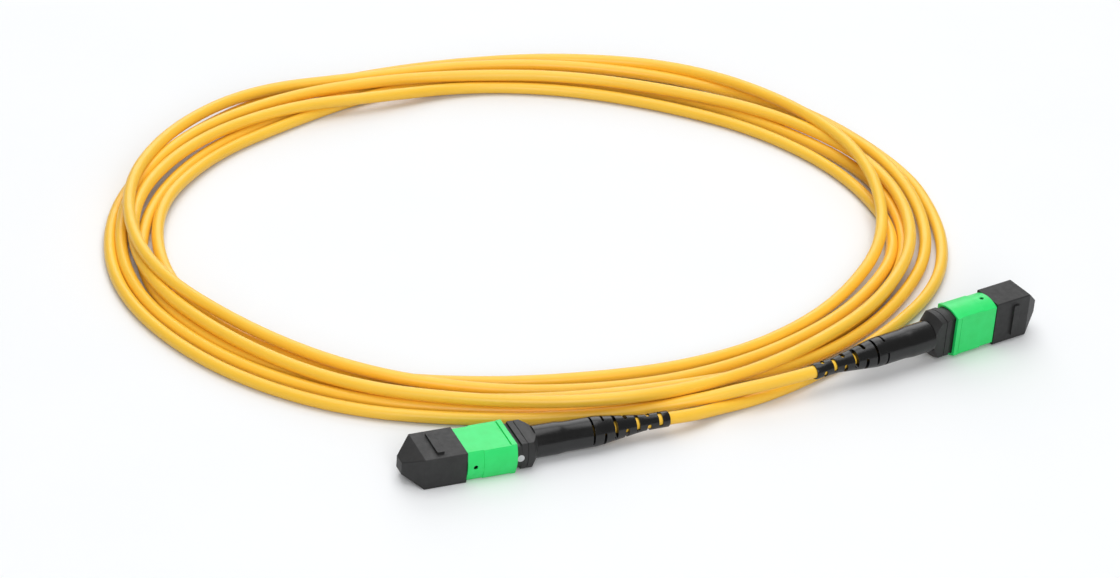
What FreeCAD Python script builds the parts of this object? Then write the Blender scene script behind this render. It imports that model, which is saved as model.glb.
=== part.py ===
import FreeCAD, Part
import math
import os
from FreeCAD import Placement, Rotation, Vector

# A coiled fibre patch cord with a multi-fibre push-on plug at each end. Millimetres.
# Plug frame: x runs from the mating end to the cable, y across the wide faces, z along
# the thickness with the keyed face up, and x = 0 at the front edge of the coupling.
# Part frame: the near plug lies along +X with its cap on the floor z = 0, centred on
# the origin, and the far plug lies on its narrow side.

# Plug nose and inner housing
NOSE_WIDTH = 9.5
NOSE_HEIGHT = 5.7
NOSE_LENGTH = 7.5
NOSE_CORNER = 0.4
KEY_WIDTH = 2.5
KEY_RISE = 0.55
KEY_SETBACK = 0.4
HOUSING_FRONT = 3.0
HOUSING_LENGTH = 11.6
HOUSING_DOME = 0.8
RIDGE_LENGTH = 1.4
RIDGE_RISE = 0.5
LATCH_WINDOW_LENGTH = 1.4
LATCH_WINDOW_WIDTH = 2.6
LATCH_WINDOW_SETBACK = 3.2

# Side channels that hold the coupling springs
CHANNEL_WIDTH = 1.5
CHANNEL_DEPTH = 1.25
CHANNEL_FRONT_WALL = 0.6
CHANNEL_LENGTH = 7.4

# Coupling sleeve
SLEEVE_LENGTH = 11.9
SLEEVE_FACE_GAP = 0.25
SLEEVE_FACE_WALL = 0.65
SLEEVE_SIDE_GAP = 0.1
SLEEVE_SIDE_WALL = 0.45
SLEEVE_CORNER_WALL = 0.3
SLEEVE_STEP_LENGTH = 3.9
SLEEVE_STEP_INSET = 0.25
RIM_LENGTH = 1.2
RIM_RISE = 0.16
RIM_GROOVE_WIDTH = 0.25
RIM_GROOVE_DEPTH = 0.2
RIM_END_GAP = 0.45
SIGHT_HOLE_DIAMETER = 1.05
SIGHT_HOLE_SETBACK = 1.9
LUG_LENGTH = 0.8
LUG_GAP = 0.1

# Dust cap
CAP_FIT = 0.1
CAP_SIDE_WALL = 0.8
CAP_FACE_WALL = 1.0
CAP_MOUTH_GAP = 0.1
CAP_BARREL = 10.0
CAP_TAPER = 4.15
CAP_TIP_WIDTH = 3.25
CAP_TIP_HEIGHT = 3.05
CAP_EDGE_RADIUS = 0.3
CAP_END_ROOM = 0.9
CAP_RIB_LENGTH = 1.7
CAP_RIB_WIDTH = 8.0
CAP_RIB_RISE = 0.55
CAP_RIB_SETBACK = 5.0

# Ferrule set
FERRULE_WIDTH = 6.4
FERRULE_HEIGHT = 2.5
FERRULE_LENGTH = 8.0
FERRULE_PROTRUSION = 1.0
FERRULE_FIT = 0.05
FERRULE_FACE_ANGLE = 8.0
FLANGE_WIDTH = 7.0
FLANGE_HEIGHT = 3.0
FLANGE_LENGTH = 2.0
FLANGE_GAP = 0.15
PIN_BORE_DIAMETER = 0.7
PIN_BORE_PITCH = 4.6
FIBRE_BORE_DIAMETER = 0.125
FIBRE_PITCH = 0.25
FIBRE_COUNT = 12
POCKET_WIDTH = 3.7
POCKET_HEIGHT = 1.7
POCKET_DEPTH = 3.0
GLUE_WINDOW_LENGTH = 1.6
GLUE_WINDOW_WIDTH = 2.4
SPACER_LENGTH = 2.0
RIBBON_WIDTH = 3.1
RIBBON_THICKNESS = 0.32
RIBBON_SLACK = 1.6
RIBBON_GAP = 0.1

# Springs
FERRULE_SPRING_WIRE = 0.36
FERRULE_SPRING_TURNS = 6
FERRULE_SPRING_END_STEPS = 3
FERRULE_SPRING_LENGTH = 6.6
FERRULE_SPRING_ROOM = 0.15
COUPLING_SPRING_WIRE = 0.18
COUPLING_SPRING_TURNS = 8
COUPLING_SPRING_STEPS = 8
COUPLING_SPRING_ROOM = 0.12

# Spring push and crimp
PUSH_FIT = 0.1
PUSH_TRUNK = 3.1
PUSH_STRAIGHT = 1.5
PUSH_END_DIAMETER = 7.8
PUSH_SEAM_WIDTH = 0.16
PUSH_SEAM_DEPTH = 0.12
PUSH_SLOT = 0.35
HOOK_RISE = 0.7
HOOK_GAP = 0.15
PASSAGE_WIDTH = 4.4
PASSAGE_HEIGHT = 1.7
NECK_DIAMETER = 4.6
NECK_LENGTH = 6.3
YARN_THICKNESS = 0.2
CRIMP_WALL = 0.35
CRIMP_SETBACK = 0.4
CRIMP_TAIL = 3.0

# Boot
BOOT_LENGTH = 33.6
BOOT_ROOT_DIAMETER = 7.55
BOOT_ROOT_LENGTH = 5.6
BOOT_NECKING = 2.2
BOOT_BODY_DIAMETER = 7.05
BOOT_TAPER_START = 14.8
BOOT_TAIL_LENGTH = 6.2
BOOT_TAIL_DIAMETER = 3.8
BOOT_LIP_RADIUS = 0.3
BOOT_FIT = 0.05
SLOT_FIRST = 13.35
SLOT_END_SETBACK = 2.55
SLOT_WIDTHS = (0.6, 0.65, 1.0, 1.15, 1.3, 1.35, 1.45)
SLOT_ARC = 134.0
SLOT_TILT = 45.0

# Cable and its lay
CABLE_DIAMETER = 3.0
FAR_SLEEVE_FRONT = (122.45, 15.45)
FAR_YAW = 191.4
FAR_ROLL = -90.0
COIL_CENTRE = (33.6, 90.7)
COIL_HEIGHT = 6.5
COIL_SIDES = 48
COIL_INNER = (86.0, 76.5, 69.5, 69.5, 74.0, 84.5, 88.0, 77.5, 69.0, 66.5, 72.0, 82.5)
COIL_OUTER = (104.5, 100.0, 90.5, 83.5, 92.5, 98.0, 104.5, 98.5, 87.5, 82.7, 86.5, 102.5)
BEND_SHARE = 0.45

# Route of the lead from the near boot, after its exit, as x, y, z
NEAR_LEAD = (
    (39.4, 0.4, 3.4),
    (47.2, 3.1, 2.0),
    (57.5, 4.6, 1.6),
    (70.5, 8.3, 1.55),
    (85.5, 14.3, 1.55),
    (102.0, 23.2, 1.55),
    (117.0, 35.5, 1.55),
    (123.5, 45.5, 1.55),
)
# Route of the lead from the far boot, after its exit
FAR_LEAD = (
    (66.8, 4.2, 6.1),
    (60.0, 4.8, 5.6),
    (53.5, 6.1, 4.6),
    (46.5, 8.4, 3.3),
)

# How the shapes are made: a cut runs OVERCUT past the face that it opens, and a wire or
# bore too fine to be round has FINE_SIDES sides
OVERCUT = 1.0
FINE_SIDES = 6

# Places that follow from the sizes above
HOUSING_REAR = HOUSING_FRONT + HOUSING_LENGTH
CAVITY_WIDTH = FLANGE_WIDTH + 2 * FLANGE_GAP
CAVITY_HEIGHT = FLANGE_HEIGHT + 2 * FLANGE_GAP
NECK_BORE = RIBBON_WIDTH + 2 * RIBBON_GAP
RIDGE_FRONT = HOUSING_REAR - RIDGE_LENGTH
RIDGE_HEIGHT = NOSE_HEIGHT + 2 * RIDGE_RISE
CHANNEL_FRONT = HOUSING_FRONT + CHANNEL_FRONT_WALL
CHANNEL_REAR = CHANNEL_FRONT + CHANNEL_LENGTH
SLEEVE_BORE_HEIGHT = NOSE_HEIGHT + 2 * SLEEVE_FACE_GAP
SLEEVE_BORE_FLAT = NOSE_WIDTH + 2 * SLEEVE_SIDE_GAP
SLEEVE_HEIGHT = SLEEVE_BORE_HEIGHT + 2 * SLEEVE_FACE_WALL
SLEEVE_FLAT = SLEEVE_BORE_FLAT + 2 * SLEEVE_CORNER_WALL
SLEEVE_DOME = HOUSING_DOME + SLEEVE_SIDE_WALL - SLEEVE_CORNER_WALL
SLEEVE_WIDTH = SLEEVE_FLAT + 2 * SLEEVE_DOME
LUG_FRONT = CHANNEL_FRONT + LUG_GAP
LUG_REAR = LUG_FRONT + LUG_LENGTH
CAP_WIDTH = NOSE_WIDTH + 2 * (CAP_FIT + CAP_SIDE_WALL)
CAP_HEIGHT = NOSE_HEIGHT + 2 * (CAP_FIT + CAP_FACE_WALL)
CAP_MOUTH = -CAP_MOUTH_GAP
CAP_SHOULDER = CAP_MOUTH - CAP_BARREL
CAP_TIP = CAP_SHOULDER - CAP_TAPER
FERRULE_TIP = -NOSE_LENGTH - FERRULE_PROTRUSION
FERRULE_REAR = FERRULE_TIP + FERRULE_LENGTH
FLANGE_FRONT = FERRULE_REAR - FLANGE_LENGTH
POCKET_FRONT = FERRULE_REAR - POCKET_DEPTH
SPACER_REAR = FERRULE_REAR + SPACER_LENGTH
SPRING_SEAT = SPACER_REAR + FERRULE_SPRING_LENGTH
TRUNK_REAR = HOUSING_REAR + PUSH_TRUNK
WINDOW_FRONT = HOUSING_REAR - LATCH_WINDOW_SETBACK - LATCH_WINDOW_LENGTH
NECK_REAR = TRUNK_REAR + NECK_LENGTH
CRIMP_FRONT = TRUNK_REAR + CRIMP_SETBACK
YARN_RADIUS = NECK_DIAMETER / 2 + YARN_THICKNESS
CRIMP_RADIUS = YARN_RADIUS + CRIMP_WALL
CRIMP_REAR = NECK_REAR + CRIMP_WALL + CRIMP_TAIL
CABLE_START = NECK_REAR + CRIMP_WALL
BOOT_REAR = TRUNK_REAR + BOOT_LENGTH
PLUG_CENTRE = (CAP_TIP + BOOT_REAR) / 2
NEAR_AXIS = max(CAP_HEIGHT / 2, SLEEVE_HEIGHT / 2 + RIM_RISE)
FAR_AXIS = max(SLEEVE_WIDTH, CAP_WIDTH) / 2


def block(x0, x1, width, height, y=0.0, z=0.0):
    """A box from x0 to x1, centred on y and z."""
    corner = Vector(x0, y - width / 2, z - height / 2)
    return Part.makeBox(x1 - x0, width, height, corner)


def rod(x0, x1, radius, y=0.0, z=0.0):
    """A cylinder along x."""
    return Part.makeCylinder(radius, x1 - x0, Vector(x0, y, z), Vector(1, 0, 0))


def tapered_block(x0, start, x1, end):
    """A four-sided taper between flat ends at x0 and x1, each given as (width, height)."""
    rings = []
    for x, (width, height) in ((x0, start), (x1, end)):
        y, z = width / 2, height / 2
        rings.append([Vector(x, -y, -z), Vector(x, y, -z), Vector(x, y, z), Vector(x, -y, z)])
    outlines = list(rings)
    for corner in range(4):
        beside = (corner + 1) % 4
        outlines.append([rings[0][corner], rings[0][beside], rings[1][beside], rings[1][corner]])
    faces = [Part.Face(Part.makePolygon(outline + outline[:1])) for outline in outlines]
    return Part.Solid(Part.Shell(faces))


def needle(x0, x1, radius, y):
    """A bar along x with FINE_SIDES sides, for a bore too fine to be worth a round one."""
    corners = []
    for corner in range(FINE_SIDES):
        angle = 2 * math.pi * corner / FINE_SIDES
        corners.append(Vector(x0, y + radius * math.cos(angle), radius * math.sin(angle)))
    return Part.Face(Part.makePolygon(corners + corners[:1])).extrude(Vector(x1 - x0, 0, 0))


def domed_bar(x0, x1, flat, height, dome):
    """A bar with flat wide faces and narrow sides that bulge by dome."""
    y, z = flat / 2, height / 2
    side = y + dome
    edges = [
        Part.makeLine(Vector(x0, -y, z), Vector(x0, y, z)),
        Part.Arc(Vector(x0, y, z), Vector(x0, side, 0), Vector(x0, y, -z)).toShape(),
        Part.makeLine(Vector(x0, y, -z), Vector(x0, -y, -z)),
        Part.Arc(Vector(x0, -y, -z), Vector(x0, -side, 0), Vector(x0, -y, z)).toShape(),
    ]
    return Part.Face(Part.Wire(edges)).extrude(Vector(x1 - x0, 0, 0))


def turned(profile):
    """A solid of revolution about x, from (x, radius) corners in order."""
    corners = [Vector(x, 0, radius) for x, radius in profile]
    wire = Part.makePolygon(corners + corners[:1])
    return Part.Face(wire).revolve(Vector(0, 0, 0), Vector(1, 0, 0), 360)


def long_edges(shape):
    """The straight edges that run along x."""
    found = []
    for edge in shape.Edges:
        box = edge.BoundBox
        if box.XLength > 1e-6 and box.YLength < 1e-6 and box.ZLength < 1e-6:
            found.append(edge)
    return found


def wire_coil(path, diameter):
    """A wire with FINE_SIDES sides, swept along a path of straight steps."""
    spine = Part.makePolygon(path)
    start, along = path[0], (path[1] - path[0]).normalize()
    side = along.cross(Vector(1, 0, 0)).normalize()
    up = along.cross(side)
    ring = []
    for corner in range(FINE_SIDES):
        angle = 2 * math.pi * corner / FINE_SIDES
        offset = side * math.cos(angle) + up * math.sin(angle)
        ring.append(start + offset * (diameter / 2))
    shell = Part.BRepOffsetAPI.MakePipeShell(spine)
    shell.setTransitionMode(1)
    shell.add(Part.makePolygon(ring + ring[:1]))
    shell.build()
    shell.makeSolid()
    return Part.Solid(shell.shape())


def make_dust_cap():
    """A closed cap that grips the nose, tapered to a small flat tip, with one grip rib."""
    barrel = block(CAP_SHOULDER, CAP_MOUTH, CAP_WIDTH, CAP_HEIGHT)
    taper = tapered_block(CAP_TIP, (CAP_TIP_WIDTH, CAP_TIP_HEIGHT),
                          CAP_SHOULDER, (CAP_WIDTH, CAP_HEIGHT))
    cap = barrel.fuse(taper).removeSplitter()
    soft = [edge for edge in cap.Edges if edge.BoundBox.XMin < CAP_MOUTH - CAP_EDGE_RADIUS]
    cap = cap.makeFillet(CAP_EDGE_RADIUS, soft)
    rib_rear = CAP_MOUTH - CAP_RIB_SETBACK
    top = CAP_HEIGHT / 2
    rib = block(rib_rear - CAP_RIB_LENGTH, rib_rear, CAP_RIB_WIDTH, 2 * CAP_RIB_RISE, z=top)
    cap = cap.fuse(rib)
    cavity_end = FERRULE_TIP - CAP_END_ROOM
    cavity = block(cavity_end, 0, NOSE_WIDTH + 2 * CAP_FIT, NOSE_HEIGHT + 2 * CAP_FIT)
    keyway_top = NOSE_HEIGHT / 2 + KEY_RISE + CAP_FIT
    keyway = block(-NOSE_LENGTH - CAP_FIT, 0, KEY_WIDTH + 2 * CAP_FIT, keyway_top, z=keyway_top / 2)
    return cap.cut(cavity.fuse(keyway))


def make_coupling_housing():
    """The push-pull sleeve: domed sides, a rear grip rim, spring lugs and a sight hole."""
    step = SLEEVE_STEP_LENGTH
    front = domed_bar(0, step, SLEEVE_FLAT - 2 * SLEEVE_STEP_INSET, SLEEVE_HEIGHT,
                      SLEEVE_DOME + SLEEVE_STEP_INSET / 2)
    rear = domed_bar(step, SLEEVE_LENGTH, SLEEVE_FLAT, SLEEVE_HEIGHT, SLEEVE_DOME)
    sleeve = front.fuse(rear)
    rim_front = SLEEVE_LENGTH - RIM_LENGTH
    rim_width = SLEEVE_FLAT - 2 * RIM_END_GAP
    for side in (1, -1):
        face = side * SLEEVE_HEIGHT / 2
        rim = block(rim_front, SLEEVE_LENGTH, SLEEVE_FLAT, 2 * RIM_RISE, z=face)
        groove = block(rim_front - RIM_GROOVE_WIDTH, rim_front, rim_width,
                       2 * RIM_GROOVE_DEPTH, z=face)
        sleeve = sleeve.fuse(rim).cut(groove)
    bore = domed_bar(-OVERCUT, SLEEVE_LENGTH + OVERCUT, SLEEVE_BORE_FLAT, SLEEVE_BORE_HEIGHT,
                     HOUSING_DOME)
    sleeve = sleeve.cut(bore)
    hole = Part.makeCylinder(SIGHT_HOLE_DIAMETER / 2, SLEEVE_WIDTH,
                             Vector(SIGHT_HOLE_SETBACK, 0, 0), Vector(0, -1, 0))
    sleeve = sleeve.cut(hole)
    lug_height = CHANNEL_WIDTH - 2 * LUG_GAP
    lug_foot = NOSE_WIDTH / 2 + HOUSING_DOME - CHANNEL_DEPTH + LUG_GAP
    lug_head = (SLEEVE_WIDTH - SLEEVE_SIDE_WALL) / 2
    for side in (1, -1):
        middle = side * (lug_foot + lug_head) / 2
        sleeve = sleeve.fuse(block(LUG_FRONT, LUG_REAR, lug_head - lug_foot, lug_height, y=middle))
    return sleeve


def make_inner_housing():
    """The plug body: keyed nose, domed waist with spring channels, and a rear ridge."""
    nose = block(-NOSE_LENGTH, HOUSING_FRONT, NOSE_WIDTH, NOSE_HEIGHT)
    nose = nose.makeFillet(NOSE_CORNER, long_edges(nose))
    key = block(-NOSE_LENGTH, -KEY_SETBACK, KEY_WIDTH, 2 * KEY_RISE, z=NOSE_HEIGHT / 2)
    waist = domed_bar(HOUSING_FRONT, RIDGE_FRONT, NOSE_WIDTH, NOSE_HEIGHT, HOUSING_DOME)
    ridge = domed_bar(RIDGE_FRONT, HOUSING_REAR, NOSE_WIDTH, RIDGE_HEIGHT, HOUSING_DOME)
    housing = nose.fuse([key, waist, ridge])
    side_reach = NOSE_WIDTH / 2 + HOUSING_DOME
    for side in (1, -1):
        channel = block(CHANNEL_FRONT, CHANNEL_REAR, 2 * CHANNEL_DEPTH, CHANNEL_WIDTH,
                        y=side * side_reach)
        window = block(WINDOW_FRONT, WINDOW_FRONT + LATCH_WINDOW_LENGTH, LATCH_WINDOW_WIDTH,
                       NOSE_HEIGHT, z=side * NOSE_HEIGHT / 2)
        housing = housing.cut(channel).cut(window)
    throat = block(-NOSE_LENGTH - OVERCUT, FLANGE_FRONT, FERRULE_WIDTH + 2 * FERRULE_FIT,
                   FERRULE_HEIGHT + 2 * FERRULE_FIT)
    cavity = block(FLANGE_FRONT - FERRULE_FIT, HOUSING_REAR + OVERCUT, CAVITY_WIDTH,
                   CAVITY_HEIGHT)
    return housing.cut(throat).cut(cavity)


def make_mt_ferrule():
    """The twelve-fibre ferrule: angled face, guide-pin bores, fibre bores and rear pocket."""
    body = block(FERRULE_TIP, FERRULE_REAR, FERRULE_WIDTH, FERRULE_HEIGHT)
    flange = block(FLANGE_FRONT, FERRULE_REAR, FLANGE_WIDTH, FLANGE_HEIGHT)
    ferrule = body.fuse(flange)
    wedge = block(FERRULE_TIP - FERRULE_HEIGHT, FERRULE_TIP, 2 * FERRULE_WIDTH, 3 * FERRULE_HEIGHT)
    wedge.rotate(Vector(FERRULE_TIP, 0, -FERRULE_HEIGHT / 2), Vector(0, 1, 0), FERRULE_FACE_ANGLE)
    ferrule = ferrule.cut(wedge)
    for side in (1, -1):
        bore = rod(FERRULE_TIP - OVERCUT, FERRULE_REAR + OVERCUT, PIN_BORE_DIAMETER / 2,
                   y=side * PIN_BORE_PITCH / 2)
        ferrule = ferrule.cut(bore)
    row = []
    for index in range(FIBRE_COUNT):
        y = (index - (FIBRE_COUNT - 1) / 2) * FIBRE_PITCH
        row.append(needle(FERRULE_TIP - OVERCUT, POCKET_FRONT + OVERCUT,
                          FIBRE_BORE_DIAMETER / 2, y))
    pocket = block(POCKET_FRONT, FERRULE_REAR + OVERCUT, POCKET_WIDTH, POCKET_HEIGHT)
    glue_window = block(POCKET_FRONT - GLUE_WINDOW_LENGTH, POCKET_FRONT, GLUE_WINDOW_WIDTH,
                        FERRULE_HEIGHT, z=FERRULE_HEIGHT / 2)
    return ferrule.cut(row).cut(pocket).cut(glue_window)


def make_ribbon():
    """The flat ribbon of fibres behind the ferrule."""
    return block(POCKET_FRONT, CABLE_START - RIBBON_SLACK, RIBBON_WIDTH, RIBBON_THICKNESS)


def make_ferrule_boot():
    """The soft boot that centres the ribbon in the ferrule pocket."""
    width = POCKET_WIDTH - 2 * FERRULE_FIT
    height = POCKET_HEIGHT - 2 * FERRULE_FIT
    boot = block(POCKET_FRONT + FERRULE_FIT, SPACER_REAR + FERRULE_FIT, width, height)
    return boot.cut(make_ribbon())


def make_pin_spacer():
    """The plate between ferrule and spring, with a window for the ribbon."""
    plate = block(FERRULE_REAR, SPACER_REAR, FLANGE_WIDTH, FLANGE_HEIGHT)
    window = block(FERRULE_REAR - OVERCUT, SPACER_REAR + OVERCUT, POCKET_WIDTH, POCKET_HEIGHT)
    return plate.cut(window)


def make_ferrule_spring():
    """The oval spring that presses the ferrule forward."""
    half_y = CAVITY_WIDTH / 2 - FERRULE_SPRING_ROOM - FERRULE_SPRING_WIRE / 2
    half_z = CAVITY_HEIGHT / 2 - FERRULE_SPRING_ROOM - FERRULE_SPRING_WIRE / 2
    straight = half_y - half_z
    lap = []
    for centre, first in ((straight, -math.pi / 2), (-straight, math.pi / 2)):
        for step in range(FERRULE_SPRING_END_STEPS + 1):
            angle = first + math.pi * step / FERRULE_SPRING_END_STEPS
            lap.append((centre + half_z * math.cos(angle), half_z * math.sin(angle)))
    room = FERRULE_SPRING_LENGTH - FERRULE_SPRING_WIRE
    count = FERRULE_SPRING_TURNS * len(lap)
    path = []
    for index in range(count + 1):
        y, z = lap[index % len(lap)]
        x = SPACER_REAR + FERRULE_SPRING_WIRE / 2 + room * index / count
        path.append(Vector(x, y, z))
    return wire_coil(path, FERRULE_SPRING_WIRE)


def make_coupling_spring(side):
    """One of the two small springs that return the coupling."""
    room_across = min(CHANNEL_WIDTH, CHANNEL_DEPTH) / 2
    radius = room_across - COUPLING_SPRING_ROOM - COUPLING_SPRING_WIRE / 2
    centre = side * (NOSE_WIDTH / 2 + HOUSING_DOME - CHANNEL_DEPTH / 2)
    front = LUG_REAR + COUPLING_SPRING_WIRE
    room = CHANNEL_REAR - COUPLING_SPRING_WIRE - front
    count = COUPLING_SPRING_TURNS * COUPLING_SPRING_STEPS
    path = []
    for index in range(count + 1):
        angle = 2 * math.pi * index / COUPLING_SPRING_STEPS
        path.append(Vector(front + room * index / count, centre + radius * math.cos(angle),
                           radius * math.sin(angle)))
    return wire_coil(path, COUPLING_SPRING_WIRE)


def make_spring_push():
    """The rear body: latching tongue, tapered trunk and the neck for the crimp."""
    tongue_width = CAVITY_WIDTH - 2 * PUSH_FIT
    tongue_height = CAVITY_HEIGHT - 2 * PUSH_FIT
    tongue = block(SPRING_SEAT, HOUSING_REAR + PUSH_SEAM_WIDTH, tongue_width, tongue_height)
    seam = domed_bar(HOUSING_REAR, HOUSING_REAR + PUSH_SEAM_WIDTH, NOSE_WIDTH - 2 * PUSH_SEAM_DEPTH,
                     RIDGE_HEIGHT - 2 * PUSH_SEAM_DEPTH, HOUSING_DOME)
    trunk = domed_bar(HOUSING_REAR + PUSH_SEAM_WIDTH, TRUNK_REAR, NOSE_WIDTH, RIDGE_HEIGHT,
                      HOUSING_DOME)
    shoulder = math.hypot(NOSE_WIDTH / 2, RIDGE_HEIGHT / 2)
    outer = turned([
        (HOUSING_REAR, 0),
        (HOUSING_REAR, 2 * shoulder),
        (HOUSING_REAR + PUSH_STRAIGHT, 2 * shoulder),
        (HOUSING_REAR + PUSH_STRAIGHT, shoulder),
        (TRUNK_REAR, PUSH_END_DIAMETER / 2),
        (TRUNK_REAR, 0),
    ])
    neck = rod(TRUNK_REAR, NECK_REAR, NECK_DIAMETER / 2)
    push = tongue.fuse([seam, trunk.common(outer), neck])
    hook_front = WINDOW_FRONT + HOOK_GAP
    hook_rear = WINDOW_FRONT + LATCH_WINDOW_LENGTH - HOOK_GAP
    hook_width = LATCH_WINDOW_WIDTH - 2 * HOOK_GAP
    for side in (1, -1):
        low = side * (tongue_height / 2 - HOOK_GAP)
        high = side * (tongue_height / 2 + HOOK_RISE)
        ramp = [Vector(hook_front, -hook_width / 2, low), Vector(hook_rear, -hook_width / 2, low),
                Vector(hook_rear, -hook_width / 2, high)]
        hook = Part.Face(Part.makePolygon(ramp + ramp[:1])).extrude(Vector(0, hook_width, 0))
        push = push.fuse(hook)
        for flank in (1, -1):
            slot = block(SPRING_SEAT - OVERCUT, HOUSING_REAR - PUSH_SEAM_WIDTH, PUSH_SLOT,
                         tongue_height / 2, y=flank * (hook_width + PUSH_SLOT) / 2,
                         z=side * tongue_height / 2)
            push = push.cut(slot)
    passage = block(SPRING_SEAT - OVERCUT, HOUSING_REAR, PASSAGE_WIDTH, PASSAGE_HEIGHT)
    bore = rod(HOUSING_REAR, NECK_REAR + OVERCUT, NECK_BORE / 2)
    return push.cut(passage).cut(bore)


def make_aramid_yarn():
    """The strength yarns folded back over the neck, under the crimp ring."""
    neck = NECK_DIAMETER / 2
    return turned([(CRIMP_FRONT, neck), (NECK_REAR, neck), (NECK_REAR, YARN_RADIUS),
                   (CRIMP_FRONT, YARN_RADIUS)])


def make_crimp_ring():
    """The stepped metal ring that grips the yarns and the cable jacket."""
    jacket = CABLE_DIAMETER / 2
    return turned([
        (CRIMP_FRONT, YARN_RADIUS),
        (NECK_REAR, YARN_RADIUS),
        (NECK_REAR, jacket),
        (CRIMP_REAR, jacket),
        (CRIMP_REAR, jacket + CRIMP_WALL),
        (NECK_REAR + CRIMP_WALL, jacket + CRIMP_WALL),
        (NECK_REAR + CRIMP_WALL, CRIMP_RADIUS),
        (CRIMP_FRONT, CRIMP_RADIUS),
    ])


def make_boot():
    """The strain relief: a hollow tapered sleeve with paired slots that alternate by 90."""
    root = BOOT_ROOT_DIAMETER / 2
    body = BOOT_BODY_DIAMETER / 2
    tail = BOOT_TAIL_DIAMETER / 2
    taper_start = TRUNK_REAR + BOOT_TAPER_START
    taper_end = BOOT_REAR - BOOT_TAIL_LENGTH
    root_end = TRUNK_REAR + BOOT_ROOT_LENGTH
    wide = CRIMP_RADIUS + BOOT_FIT
    middle = CABLE_DIAMETER / 2 + CRIMP_WALL + BOOT_FIT
    narrow = CABLE_DIAMETER / 2 + BOOT_FIT
    wide_end = NECK_REAR + CRIMP_WALL + BOOT_FIT
    middle_end = CRIMP_REAR + BOOT_FIT
    boot = turned([
        (TRUNK_REAR, wide), (TRUNK_REAR, root), (root_end, root),
        (root_end + BOOT_NECKING, body), (taper_start, body), (taper_end, tail),
        (BOOT_REAR - BOOT_LIP_RADIUS, tail), (BOOT_REAR, tail - BOOT_LIP_RADIUS / 2),
        (BOOT_REAR, narrow), (middle_end + middle - narrow, narrow), (middle_end, middle),
        (wide_end + wide - middle, middle), (wide_end, wide),
    ])
    pitch = (BOOT_LENGTH - SLOT_FIRST - SLOT_END_SETBACK) / (len(SLOT_WIDTHS) - 1)
    for station, width in enumerate(SLOT_WIDTHS):
        front = TRUNK_REAR + SLOT_FIRST + station * pitch - width / 2
        for half in (0, 180):
            sector = Part.makeCylinder(BOOT_ROOT_DIAMETER, width, Vector(front, 0, 0),
                                       Vector(1, 0, 0), SLOT_ARC)
            turn = SLOT_TILT + 90 * station + half - SLOT_ARC / 2
            sector.rotate(Vector(0, 0, 0), Vector(1, 0, 0), turn)
            boot = boot.cut(sector)
    return boot


def make_cable_end():
    """The cable jacket inside the crimp ring and the boot."""
    return rod(CABLE_START, BOOT_REAR, CABLE_DIAMETER / 2)


def plug_pieces():
    """Every piece of one plug, by name, in the plug frame."""
    return {
        "dust_cap": make_dust_cap(),
        "coupling_housing": make_coupling_housing(),
        "coupling_spring_left": make_coupling_spring(1),
        "coupling_spring_right": make_coupling_spring(-1),
        "inner_housing": make_inner_housing(),
        "mt_ferrule": make_mt_ferrule(),
        "ferrule_boot": make_ferrule_boot(),
        "pin_spacer": make_pin_spacer(),
        "ferrule_spring": make_ferrule_spring(),
        "fibre_ribbon": make_ribbon(),
        "spring_push": make_spring_push(),
        "aramid_yarn": make_aramid_yarn(),
        "crimp_ring": make_crimp_ring(),
        "boot": make_boot(),
        "cable_end": make_cable_end(),
    }


def lead_tube(name, exit_point, route):
    """A cable tube along straight runs joined by tangent arcs, with its radii printed."""
    points = [exit_point] + [Vector(*place) for place in route]
    edges, radii = [], []
    start = points[0]
    for before, corner, after in zip(points, points[1:], points[2:]):
        back = (before - corner).normalize()
        ahead = (after - corner).normalize()
        turn = math.pi - back.getAngle(ahead)
        reach = BEND_SHARE * min((before - corner).Length, (after - corner).Length)
        radius = reach / math.tan(turn / 2)
        radii.append(radius)
        first = corner + back * reach
        last = corner + ahead * reach
        to_centre = (back + ahead).normalize() * (radius / math.cos(turn / 2))
        middle = corner + to_centre - (back + ahead).normalize() * radius
        edges.append(Part.makeLine(start, first))
        edges.append(Part.Arc(first, middle, last).toShape())
        start = last
    edges.append(Part.makeLine(start, points[-1]))
    path = Part.Wire(edges)
    along = (points[1] - points[0]).normalize()
    ring = Part.Wire(Part.makeCircle(CABLE_DIAMETER / 2, points[0], along))
    tube = path.makePipeShell([ring], True, False)
    section = math.pi * CABLE_DIAMETER ** 2 / 4
    print(name, "length %.1f" % path.Length,
          "volume over section x length %.4f" % (tube.Volume / (section * path.Length)),
          "radii", " ".join("%.0f" % radius for radius in radii))
    return tube


def make_coil():
    """The outer shape of the coiled turns, as one closed ring."""
    loops = []
    for radii in (COIL_OUTER, COIL_INNER):
        points = []
        for index, radius in enumerate(radii):
            angle = 2 * math.pi * index / len(radii)
            points.append(Vector(COIL_CENTRE[0] + radius * math.cos(angle),
                                 COIL_CENTRE[1] + radius * math.sin(angle), 0))
        curve = Part.BSplineCurve()
        curve.interpolate(Points=points, PeriodicFlag=True)
        corners = []
        for side in range(COIL_SIDES):
            share = (side + 0.5) / COIL_SIDES
            first, last = curve.FirstParameter, curve.LastParameter
            corners.append(curve.value(first + share * (last - first)))
        loops.append(Part.Face(Part.makePolygon(corners + corners[:1])))
    ring = loops[0].cut(loops[1])
    return ring.Faces[0].extrude(Vector(0, 0, COIL_HEIGHT))


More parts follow.
